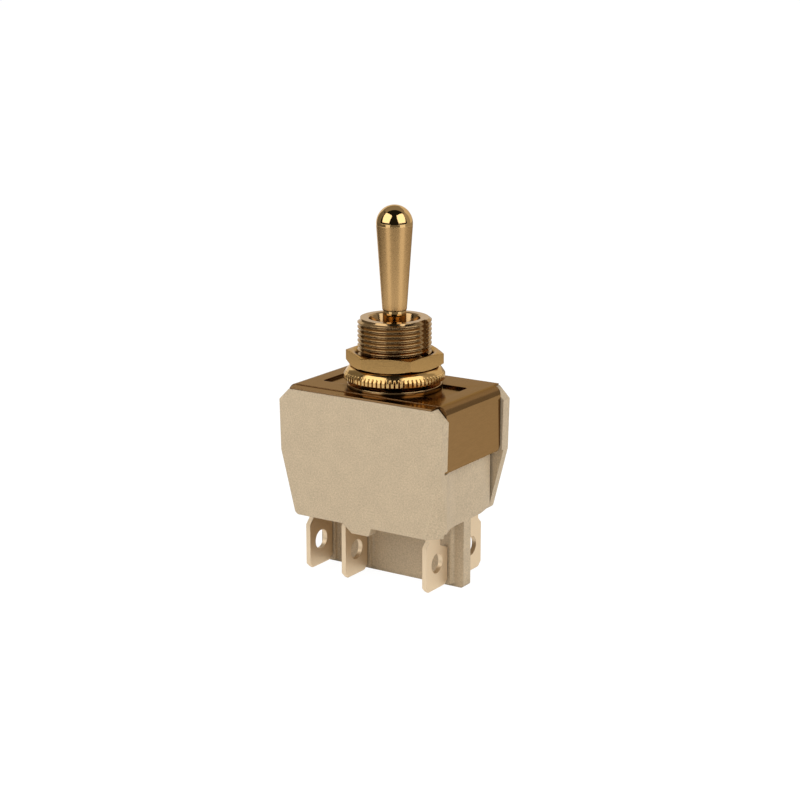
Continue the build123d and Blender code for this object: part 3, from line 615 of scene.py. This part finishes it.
@dataclass
class Bushing:
    """The threaded bushing with its collar, keyway and conical mouth, in millimetres."""

    crest: float = 6.0
    depth: float = 0.44
    pitch: float = 0.75
    crest_land: float = 0.12
    root_land: float = 0.1
    steps: int = 120
    rim: float = 5.55
    rim_drop: float = 0.35
    mouth: float = 4.15
    mouth_round: float = 0.25
    mouth_round_drop: float = 0.15
    throat: float = 2.9
    throat_drop: float = 4.65
    throat_length: float = 0.3
    socket: float = 3.9
    socket_drop: float = 5.75
    collar_height: float = 0.5
    collar_sink: float = 0.4
    collar_round: float = 0.14
    thread_gap: float = 0.02
    spigot: float = 5.7
    stake: float = 6.4
    keyway_width: float = 1.9
    keyway_depth: float = 0.8
    keyway_lift: float = 0.03
    sharp: float = 24.0

    def levels(self) -> tuple[float, float, float, float]:
        """Return the foot, the frame's underside and top, and the bushing's top."""
        low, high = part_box("bushing")
        return low.z / MM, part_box("insulating_liner")[1].z / MM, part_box("frame")[1].z / MM, high.z / MM

    def thread_wall(self, bottom: float, top: float) -> Shape:
        """Make the threaded wall between two levels.

        Args:
            bottom: Its lower level.
            top: Its upper level.

        Returns:
            The open wall.
        """
        flank = (self.pitch - self.crest_land - self.root_land) / 2
        root = self.crest - self.depth
        spare = 2 * self.pitch
        profile = []
        height = bottom - spare
        while height < top + spare:
            land = height + self.root_land + flank
            profile += [
                (root, height), (root, height + self.root_land),
                (self.crest, land), (self.crest, land + self.crest_land),
            ]
            height += self.pitch
        shape = spun(profile, self.steps, close=False, rise=self.pitch)
        for level, normal in ((bottom, (0, 0, -1)), (top, (0, 0, 1))):
            bmesh.ops.bisect_plane(shape, geom=shape.verts[:] + shape.edges[:] + shape.faces[:],
                                   plane_co=(0, 0, level * MM), plane_no=normal, clear_outer=True)
        return shape

    def body_profile(self) -> Profile:
        """Return the rest of the bushing's section, from its rim inwards round to its collar."""
        foot, under, frame_top, top = self.levels()
        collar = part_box("bushing")[1].x / MM
        collar_top = frame_top + self.collar_height
        collar_foot = frame_top - self.collar_sink
        bend = self.collar_round
        return [
            (self.rim, top),
            (self.mouth + self.mouth_round, top),
            (self.mouth, top - self.mouth_round_drop),
            (self.throat, top - self.throat_drop + self.throat_length),
            (self.throat, top - self.throat_drop),
            (self.socket, top - self.socket_drop),
            (self.socket, foot),
            (self.stake, foot),
            (self.stake, under),
            (self.spigot, under),
            (self.spigot, collar_foot),
            (collar - bend, collar_foot),
            *arc_points((collar - bend, collar_foot + bend), bend, start=-90, end=0, count=4),
            *arc_points((collar - bend, collar_top - bend), bend, start=0, end=90, count=4),
            (self.crest - self.depth, collar_top),
        ]

    def keyway_cutter(self, bottom: float, top: float) -> Shape:
        """Model the block that cuts the keyway down the thread.

        Args:
            bottom: The keyway's foot.
            top: The bushing's top.

        Returns:
            The block, which stands out past the thread's crest and its top.
        """
        past_crest, past_top = 1.2, 1.0
        depth = self.keyway_depth + past_crest
        size = Vector((depth, self.keyway_width, top - bottom + past_top))
        centre = Vector((self.crest - self.keyway_depth + depth / 2, 0,
                         (bottom + top + past_top) / 2 + self.keyway_lift))
        shape = bmesh.new()
        bmesh.ops.create_cube(shape, size=1.0, matrix=Matrix.LocRotScale(centre * MM, None, size * MM))
        return shape

    @staticmethod
    def bridge(shape: Shape, first: float, second: float) -> None:
        """Join the open loops that lie at two levels.

        Args:
            shape: The bushing so far.
            first: One loop's level.
            second: The other's.
        """
        reach = 0.004 * MM
        open_edges = [edge for edge in shape.edges if edge.is_boundary]
        loops = [
            edge for edge in open_edges
            if any(all(abs(v.co.z - level * MM) < reach for v in edge.verts) for level in (first, second))
        ]
        bmesh.ops.bridge_loops(shape, edges=loops)

    def build(self) -> Piece:
        """Model the bushing.

        Returns:
            The piece.
        """
        _, _, frame_top, top = self.levels()
        collar_top = frame_top + self.collar_height
        thread_foot, thread_top = collar_top + self.thread_gap, top - self.rim_drop
        shape = spun(self.body_profile(), self.steps, close=False)
        wall = self.thread_wall(thread_foot, thread_top)
        holder = bpy.data.meshes.new("thread wall")
        wall.to_mesh(holder)
        wall.free()
        shape.from_mesh(holder)
        bpy.data.meshes.remove(holder)
        self.bridge(shape, top, thread_top)
        self.bridge(shape, collar_top, thread_foot)
        bmesh.ops.recalc_face_normals(shape, faces=shape.faces)
        shape = cut_by(shape, self.keyway_cutter(collar_top, top), Cut.OUTSIDE)
        piece = finished_object(shape, "threaded_bushing", [Finish.BUSHING])
        shade_by_angle(piece, self.sharp)
        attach(piece, "base")
        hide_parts("bushing")
        return piece


@dataclass
class Lever:
    """The turned lever: polished tip and neck with a satin grip between them, in millimetres."""

    tip: float = 2.935
    seam_drop: float = 0.35
    seam_step: float = 0.03
    grip_top: float = 2.93
    grip_foot: float = 1.99
    neck: float = 1.89
    ball: float = 3.6
    ball_step: float = 0.01
    stem: float = 1.6
    grip_foot_above_pivot: float = 8.9
    edge: float = 0.06
    steps: int = 96
    sharp: float = 20.0

    def build(self) -> Piece:
        """Model the lever.

        Returns:
            The piece.
        """
        low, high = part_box("lever")
        foot, top = low.z / MM, high.z / MM
        pin_low, pin_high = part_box("lever_pin")
        pivot = (pin_low.z + pin_high.z) / 2 / MM
        centre = top - self.tip
        seam = centre - self.seam_drop
        grip_foot = pivot + self.grip_foot_above_pivot
        ball_foot = pivot - math.sqrt(self.ball ** 2 - self.stem ** 2)
        neck_angle = math.degrees(math.acos(self.neck / self.ball))
        stem_angle = math.degrees(math.acos(self.stem / self.ball))
        profile = [
            (0.0, top),
            *arc_points((0, centre), self.tip, start=88, end=0, count=28),
            (self.tip, seam + self.seam_step),
            (self.grip_top - self.seam_step, seam),
            (self.grip_top, seam - self.seam_step),
            (self.grip_foot, grip_foot + self.edge),
            (self.grip_foot - self.edge, grip_foot),
            (self.neck, grip_foot - self.edge),
            *arc_points((0, pivot), self.ball, start=neck_angle, end=-stem_angle, count=24),
            (self.stem, ball_foot - self.ball_step),
            (self.stem, foot),
            (0.0, foot),
        ]
        shape = spun(profile, self.steps, close=False)
        bmesh.ops.recalc_face_normals(shape, faces=shape.faces)
        finishes = [Finish.POLISHED, Finish.GRIP]
        for face in shape.faces:
            satin = grip_foot < face.calc_center_median().z / MM < seam
            face.material_index = finishes.index(Finish.GRIP if satin else Finish.POLISHED)
        piece = finished_object(shape, "turned_lever", finishes)
        shade_by_angle(piece, self.sharp)
        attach(piece, "lever")
        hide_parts("lever")
        return piece


def round_edges(shape: Shape, width: float, pick: Callable[[Edge], bool]) -> None:
    """Round the outer sharp edges that a rule picks.

    Args:
        shape: The shape.
        width: How far the rounding reaches, in millimetres.
        pick: The rule.
    """
    least = math.radians(25)
    chosen = [
        edge for edge in shape.edges
        if len(edge.link_faces) == 2 and edge.calc_face_angle_signed(0.0) > least and pick(edge)
    ]
    if chosen:
        bmesh.ops.bevel(shape, geom=chosen, offset=width * MM, offset_type="OFFSET", segments=2,
                        profile=0.5, affect="EDGES", clamp_overlap=True, material=-1)


def middle(edge: Edge) -> Vector:
    """Return an edge's middle, in millimetres."""
    return (edge.verts[0].co + edge.verts[1].co) / 2 / MM


@dataclass(frozen=True)
class EdgeRule:
    """Picks the edges that are rounded to one width, in millimetres.

    Attributes:
        width: How far the rounding reaches.
        least: A picked edge is longer than this.
        front: Its middle lies in front of this, along Y.
        right: Its middle lies to the right of this, along X.
        top: Its middle lies below this, along Z.
        upright: Whether only edges that stand straight up are picked.
    """

    width: float
    least: float = 0.0
    front: float = math.inf
    right: float = -math.inf
    top: float = math.inf
    upright: bool = False

    def picks(self, edge: Edge) -> bool:
        """Tell whether the rule picks an edge.

        Args:
            edge: The edge.

        Returns:
            Whether it does.
        """
        first, second = edge.verts
        length = edge.calc_length()
        if self.upright and abs(first.co.z - second.co.z) <= 0.97 * length:
            return False
        at = middle(edge)
        return length > self.least * MM and at.x > self.right and at.y < self.front and at.z < self.top


@dataclass
class HexNut:
    """The hexagonal nut, countersunk at its bore, in millimetres."""

    flats: float = 14.0
    turn: float = 51.7
    foot_chamfer: float = 0.5
    top_chamfer: float = 0.22
    bore: float = 6.03
    countersink: float = 6.62
    countersink_depth: float = 0.55
    edge: float = 0.05
    steps: int = 96
    sharp: float = 50.0

    def build(self) -> Piece:
        """Model the nut.

        Returns:
            The piece.
        """
        low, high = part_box("hex_nut")
        foot, top = low.z / MM, high.z / MM
        flat, corner = self.flats / 2, self.flats / math.sqrt(3)
        envelope = spun([
            (self.bore, foot),
            (flat, foot),
            (corner, foot + self.foot_chamfer),
            (corner, top - self.top_chamfer),
            (flat, top),
            (self.countersink, top),
            (self.bore, top - self.countersink_depth),
        ], self.steps)
        bmesh.ops.recalc_face_normals(envelope, faces=envelope.faces)
        prism = bmesh.new()
        spare, margin = 1.0, 0.1
        place = Matrix.Translation((0, 0, (foot + top) / 2 * MM))
        turn = Matrix.Rotation(math.radians(self.turn), 4, "Z")
        bmesh.ops.create_cone(prism, cap_ends=True, segments=6, radius1=corner * MM, radius2=corner * MM,
                              depth=(top - foot + 2 * spare) * MM, matrix=place @ turn)
        shape = cut_by(envelope, prism, Cut.SHARED)
        round_edges(shape, self.edge, lambda edge: middle(edge).xy.length > self.countersink + margin)
        piece = finished_object(shape, "satin_hex_nut", [Finish.NUT])
        shade_by_angle(piece, self.sharp, flat=True)
        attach(piece, "base")
        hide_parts("hex_nut")
        return piece


@dataclass
class KnurledNut:
    """The round nut with straight teeth that run out in its bevelled crown, in millimetres."""

    teeth: int = 70
    depth: float = 0.34
    land_share: float = 0.58
    bore: float = 6.03
    foot_bevel: float = 0.15
    crown: tuple[tuple[float, float], ...] = (
        (0.0, 0.85), (0.12, 1.05), (0.24, 1.22), (0.34, 1.36), (0.46, 1.54), (0.58, 1.72), (0.72, 1.88),
        (0.95, 2.04), (1.3, 2.15), (1.6, 2.2),
    )
    sharp: float = 16.0

    def envelope(self, crest: float) -> Profile:
        """Return the crown's and foot's outline as radius and height over the foot."""
        foot = [(crest - self.foot_bevel, 0.0), (crest, self.foot_bevel)]
        return foot + [(crest - inward, height) for inward, height in self.crown]

    def first_ring(self, crest: float) -> Shape:
        """Draw the teeth's outline, whose points keep their own radius.

        Args:
            crest: The teeth's outer radius.

        Returns:
            A ring with a land's start, a land's end and a hollow for each tooth.
        """
        pitch = math.tau / self.teeth
        shape = bmesh.new()
        own = shape.verts.layers.float.new("own radius")
        bmesh.ops.create_circle(shape, cap_ends=False, segments=3 * self.teeth, radius=crest * MM)
        order = sorted(shape.verts, key=lambda vert: math.atan2(vert.co.y, vert.co.x) % math.tau)
        land_ends, hollows = order[1::3], order[2::3]
        shifts = (self.land_share - 1 / 3, (self.land_share + 1) / 2 - 2 / 3)
        for group, shift in zip((land_ends, hollows), shifts):
            turn = Matrix.Rotation(shift * pitch, 3, "Z")
            bmesh.ops.rotate(shape, verts=group, cent=(0, 0, 0), matrix=turn)
        for vert in order:
            vert[own] = crest
        for vert in hollows:
            vert[own] = crest - self.depth
        return shape

    def next_ring(self, shape: Shape, ring: list[Edge], radius: float, height: float) -> list[Edge]:
        """Extrude the last ring to the next one.

        Args:
            shape: The nut so far.
            ring: Its last ring.
            radius: The envelope's radius at the next ring.
            height: The next ring's height.

        Returns:
            The new ring.
        """
        made = bmesh.ops.extrude_edge_only(shape, edges=ring)["geom"]
        edges = [item for item in made if isinstance(item, Edge) and all(end in made for end in item.verts)]
        self.settle(shape, edges, radius, height)
        return edges

    @staticmethod
    def settle(shape: Shape, ring: list[Edge], radius: float, height: float) -> None:
        """Bring a ring to its height and its crests and hollows inside the envelope.

        Args:
            shape: The nut so far.
            ring: The ring's edges.
            radius: The envelope's radius there.
            height: The ring's height.
        """
        own = shape.verts.layers.float["own radius"]
        for vert in {end for edge in ring for end in edge.verts}:
            flat = vert.co.xy.normalized() * min(vert[own], radius) * MM
            vert.co = (flat.x, flat.y, height * MM)

    def build(self) -> Piece:
        """Model the nut ring by ring, from its foot up and down through its bore.

        Returns:
            The piece.
        """
        low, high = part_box("knurled_nut")
        crest, foot = high.x / MM, low.z / MM
        shape = self.first_ring(crest)
        levels = self.envelope(crest)
        ring = first = list(shape.edges)
        self.settle(shape, ring, levels[0][0], foot)
        for radius, height in levels[1:]:
            ring = self.next_ring(shape, ring, radius, foot + height)
        for height in (levels[-1][1], 0.0):
            ring = self.next_ring(shape, ring, self.bore, foot + height)
        bmesh.ops.bridge_loops(shape, edges=ring + first)
        bmesh.ops.recalc_face_normals(shape, faces=shape.faces)
        piece = finished_object(shape, "satin_knurled_nut", [Finish.KNURL])
        shade_by_angle(piece, self.sharp)
        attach(piece, "base")
        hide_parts("knurled_nut")
        return piece


@dataclass
class DressedNode:
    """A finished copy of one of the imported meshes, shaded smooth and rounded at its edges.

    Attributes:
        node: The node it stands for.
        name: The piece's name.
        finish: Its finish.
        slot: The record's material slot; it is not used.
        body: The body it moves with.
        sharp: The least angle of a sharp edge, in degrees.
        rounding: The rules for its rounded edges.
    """

    node: str
    name: str
    finish: Finish
    slot: str
    body: str = "base"
    sharp: float = 50.0
    rounding: tuple[EdgeRule, ...] = ()

    def build(self) -> Piece:
        """Copy, merge and dress the node's mesh.

        Returns:
            The piece.
        """
        level = math.radians(0.4)
        shape = bmesh.new()
        shape.from_mesh(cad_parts[self.node].data)
        bmesh.ops.remove_doubles(shape, verts=shape.verts, dist=MERGE_DISTANCE)
        bmesh.ops.dissolve_limit(shape, angle_limit=level, verts=shape.verts, edges=shape.edges)
        for rule in self.rounding:
            round_edges(shape, rule.width, rule.picks)
        piece = finished_object(shape, self.name, [self.finish])
        shade_by_angle(piece, self.sharp, flat=True)
        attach(piece, self.body)
        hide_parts(self.node)
        return piece


@dataclass
class InnerParts:
    """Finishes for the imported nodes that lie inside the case."""

    finishes: dict[str, Finish] = field(default_factory=lambda: {
        "insulating_liner": Finish.LINER,
        "lever_pin": Finish.STEEL,
        "yoke": Finish.YOKE,
        "plunger_spring": Finish.STEEL,
        "plunger": Finish.YOKE,
        "rocker": Finish.ROCKER,
        "fixed_contact": Finish.CONTACT,
        "moving_contact": Finish.CONTACT,
    })

    def dress(self) -> None:
        """Give every inner node the finish of the first entry that its name starts with."""
        for name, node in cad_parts.items():
            for start, finish in self.finishes.items():
                if name.startswith(start):
                    node.data.materials.clear()
                    node.data.materials.append(finish.material())
                    log.info("%s: %s", name, finish.value.name)
                    break


def emptied(owner: Union[bpy.types.Material, bpy.types.World]) -> Tree:
    """Give a material or a world an empty tree.

    Args:
        owner: The material or world.

    Returns:
        Its tree.
    """
    owner.use_nodes = True
    owner.node_tree.nodes.clear()
    return owner.node_tree


def seen_as_background(tree: Tree) -> Socket:
    """Add a mask of the rays that see the background.

    Args:
        tree: The material's or world's tree.

    Returns:
        A socket that is 1 on camera, glossy and transmission rays.
    """
    path = add_node(tree, "LightPath").outputs
    seen = math_node(tree, "MAXIMUM", path["Is Camera Ray"], path["Is Glossy Ray"])
    return math_node(tree, "MAXIMUM", seen, path["Is Transmission Ray"])


@dataclass
class Studio:
    """The floor, the lights and the camera.

    Attributes:
        azimuth: Camera's angle round the switch, in degrees.
        elevation: Camera's angle above the horizon.
        distance: From the camera to what it looks at, in millimetres.
        lens: Focal length, in millimetres.
        aside: How far the view's centre lies to the right of the bushing's axis, in millimetres.
        below: How far it lies below the top of the frame, in millimetres.
    """

    azimuth: float = 33.089
    elevation: float = 14.246
    distance: float = 313.022
    lens: float = 86.92
    aside: float = 0.87
    below: float = 2.553

    def direction(self, across: float, above: float) -> Vector:
        """Return a direction from the switch, in degrees right of the camera and above the floor."""
        a, e = math.radians(self.azimuth + across), math.radians(above)
        return Vector((math.sin(a) * math.cos(e), -math.cos(a) * math.cos(e), math.sin(e)))

    def target(self) -> Vector:
        """Return the point at the centre of the picture."""
        right = self.direction(90, 0)
        up = self.direction(0, self.elevation).cross(right)
        return Vector((0, 0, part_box("frame")[1].z)) + (right * self.aside - up * self.below) * MM

    def aimed(self, name: str, data: bpy.types.ID, way: Vector, away: float) -> Piece:
        """Stand a camera or a lamp so that it looks at the switch.

        Args:
            name: Its name.
            data: Its camera or light.
            way: The direction in which it stands.
            away: Its distance, in metres.

        Returns:
            The linked object.
        """
        item = bpy.data.objects.new(name, data)
        bpy.context.scene.collection.objects.link(item)
        item.location = self.target() + way * away
        item.rotation_mode = "QUATERNION"
        item.rotation_quaternion = (-way).to_track_quat("-Z", "Y")
        return item

    def camera(self) -> None:
        """Place the camera where the photograph was taken from."""
        data = bpy.data.cameras.new("camera")
        data.lens = self.lens
        data.sensor_width = 36
        data.clip_start = 0.01
        data.clip_end = 20
        way = self.direction(0, self.elevation)
        bpy.context.scene.camera = self.aimed("camera", data, way, self.distance * MM)

    def softbox(self, name: str, across: float, above: float, size: tuple[float, float], away: float,
                radiance: float) -> None:
        """Add a softbox that faces the switch.

        Args:
            name: Its name.
            across: Degrees right of the camera.
            above: Degrees above the floor.
            size: Width and height, in metres.
            away: Distance, in metres.
            radiance: How bright its face is, where 1 is white.
        """
        data = bpy.data.lights.new(name, "AREA")
        data.shape = "RECTANGLE"
        data.size, data.size_y = size
        data.energy = radiance * math.pi * size[0] * size[1]
        data.color = (1.0, 0.985, 0.96)
        self.aimed(name, data, self.direction(across, above), away)

    def card(self, name: str, edges: tuple[float, float], levels: tuple[float, float], shade: float,
             away: float = 0.16) -> None:
        """Stand a curved card round the switch that only reflections show.

        Args:
            name: Its name.
            edges: Where it starts and ends, in degrees right of the camera.
            levels: Heights of its lower and upper edge, in metres.
            shade: How bright it looks, where 1 is white.
            away: Distance from the bushing's axis, in metres.
        """
        shape = bmesh.new()
        way = self.direction(edges[0], 0) * away
        ends = [shape.verts.new((way.x, way.y, level)) for level in levels]
        upright = shape.edges.new(ends)
        bmesh.ops.spin(shape, geom=ends + [upright], cent=(0, 0, 0), axis=(0, 0, 1), dvec=(0, 0, 0),
                       angle=math.radians(edges[1] - edges[0]), steps=16, use_merge=False,
                       use_duplicate=False)
        self.finish_card(shape, name, shade)

    def lid(self, name: str, across: float, above: float, size: tuple[float, float], shade: float,
            away: float) -> None:
        """Hang a flat card over the switch that only reflections show.

        Args:
            name: Its name.
            across: Degrees right of the camera.
            above: Degrees above the floor.
            size: Width and height, in metres.
            shade: How bright it looks, where 1 is white.
            away: Distance, in metres.
        """
        way = self.direction(across, above)
        place = Matrix.LocRotScale(self.target() + way * away, way.to_track_quat("Z", "Y"),
                                   Vector((*size, 1)))
        shape = bmesh.new()
        bmesh.ops.create_grid(shape, x_segments=1, y_segments=1, size=0.5, matrix=place)
        self.finish_card(shape, name, shade)

    @staticmethod
    def finish_card(shape: Shape, name: str, shade: float) -> None:
        """Turn a card's shape into a stage object.

        Args:
            shape: Its shape.
            name: Its name.
            shade: How bright it looks, where 1 is white.
        """
        card = finished_object(shape, name, [])
        material = bpy.data.materials.new(name)
        tree = emptied(material)
        glow = add_node(tree, "Emission", Color=(shade, shade * 0.94, shade * 0.86, 1), Strength=1.0)
        add_node(tree, "OutputMaterial", Surface=glow.outputs[0])
        card.data.materials.append(material)
        card.visible_camera = False
        card.visible_diffuse = False
        card.visible_shadow = False
        card.visible_transmission = False

    @staticmethod
    def world(fill: float) -> None:
        """Set a white world that lights the switch more weakly than it shows.

        Args:
            fill: Its strength as a light.
        """
        world = bpy.data.worlds.new("studio")
        bpy.context.scene.world = world
        tree = emptied(world)
        light = add_node(tree, "Background", Color=WHITE, Strength=fill)
        shown = add_node(tree, "Background", Color=WHITE, Strength=1.0)
        mix = add_node(tree, "MixShader", seen_as_background(tree), light.outputs[0], shown.outputs[0])
        add_node(tree, "OutputWorld", Surface=mix.outputs[0])

    @staticmethod
    def floor(reach: float, glow: float, share: float) -> None:
        """Lay the white floor, which keeps a faint shadow.

        Args:
            reach: Half its width, in metres.
            glow: How bright it looks by itself, where 1 is white.
            share: How much of its look is that glow, and not lit paint.
        """
        shape = bmesh.new()
        bmesh.ops.create_grid(shape, x_segments=1, y_segments=1, size=reach,
                              matrix=Matrix.Translation((0, 0, CAD_BOX[0].z)))
        floor = finished_object(shape, "floor", [])
        material = bpy.data.materials.new("white floor")
        tree = emptied(material)
        paint = add_node(tree, "BsdfDiffuse", Color=(0.9, 0.9, 0.9, 1))
        light = add_node(tree, "Emission", Color=WHITE, Strength=glow)
        seen = math_node(tree, "MULTIPLY", seen_as_background(tree), share)
        mix = add_node(tree, "MixShader", seen, paint.outputs[0], light.outputs[0])
        add_node(tree, "OutputMaterial", Surface=mix.outputs[0])
        floor.data.materials.append(material)

    def build(self) -> None:
        """Set up the whole studio."""
        self.camera()
        self.world(fill=0.42)
        self.floor(reach=6.0, glow=1.11, share=0.86)
        for name, across in (("left softbox", -58), ("right softbox", 50)):
            self.softbox(name, across, above=33, size=(0.56, 0.58), away=0.6, radiance=1.9)
        low, upper = (0.0, 0.045), (0.045, 0.2)
        self.card("front card", edges=(-24, 20), levels=(0.045, 0.26), shade=0.015)
        self.card("base card", edges=(-28, 34), levels=low, shade=0.19)
        self.card("left card", edges=(-142, -98), levels=upper, shade=0.22)
        self.card("left base card", edges=(-142, -56), levels=low, shade=0.18)
        self.card("right card", edges=(84, 117), levels=upper, shade=0.42)
        self.card("light card", edges=(117, 160), levels=upper, shade=0.8)
        self.card("right base card", edges=(70, 178), levels=low, shade=0.42)
        self.card("far card", edges=(-125, 84), levels=(0.0, 1.1), shade=0.015, away=0.9)
        self.lid("front lid", across=0, above=68, size=(1.9, 1.1), shade=0.015, away=0.88)
        self.lid("sky lid", across=180, above=80, size=(2.2, 2.2), shade=0.32, away=1.0)
        bpy.context.scene.view_settings.view_transform = "Standard"


def copied_nodes() -> list[DressedNode]:
    """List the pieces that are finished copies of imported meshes.

    Returns:
        The case, the frame and the six tabs.
    """
    case_low, case_high = (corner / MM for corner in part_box("case"))
    plate_end = EdgeRule(0.9, least=4.0, front=-8.0, right=case_high.x - 1.2, upright=True)
    case_edges = EdgeRule(0.12, least=0.8, front=-2.0)
    frame_edges = EdgeRule(0.08, least=0.3)
    tab_edges = EdgeRule(0.08, top=case_low.z + 1)
    nodes = [
        DressedNode("case", "moulded_case", Finish.CASE, "case_plastic", rounding=(plate_end, case_edges)),
        DressedNode("frame", "brass_frame", Finish.FRAME, "frame_brass", rounding=(frame_edges,)),
    ]
    for row in ("front", "rear"):
        for place in ("left", "centre", "right"):
            nodes.append(DressedNode(f"terminal_{row}_{place}", f"tab_{row}_{place}", Finish.TERMINAL,
                                     "terminal_brass", rounding=(tab_edges,)))
    return nodes


def main() -> None:
    """Build the switch's pieces in order, then the studio."""
    logging.basicConfig(level=logging.INFO)
    for maker in (Bushing(), Lever(), HexNut(), KnurledNut(), *copied_nodes()):
        piece = maker.build()
        log.info("%s: %d faces", piece.name, len(piece.data.polygons))
    InnerParts().dress()
    Studio().build()


if __name__ == "__main__":
    main()
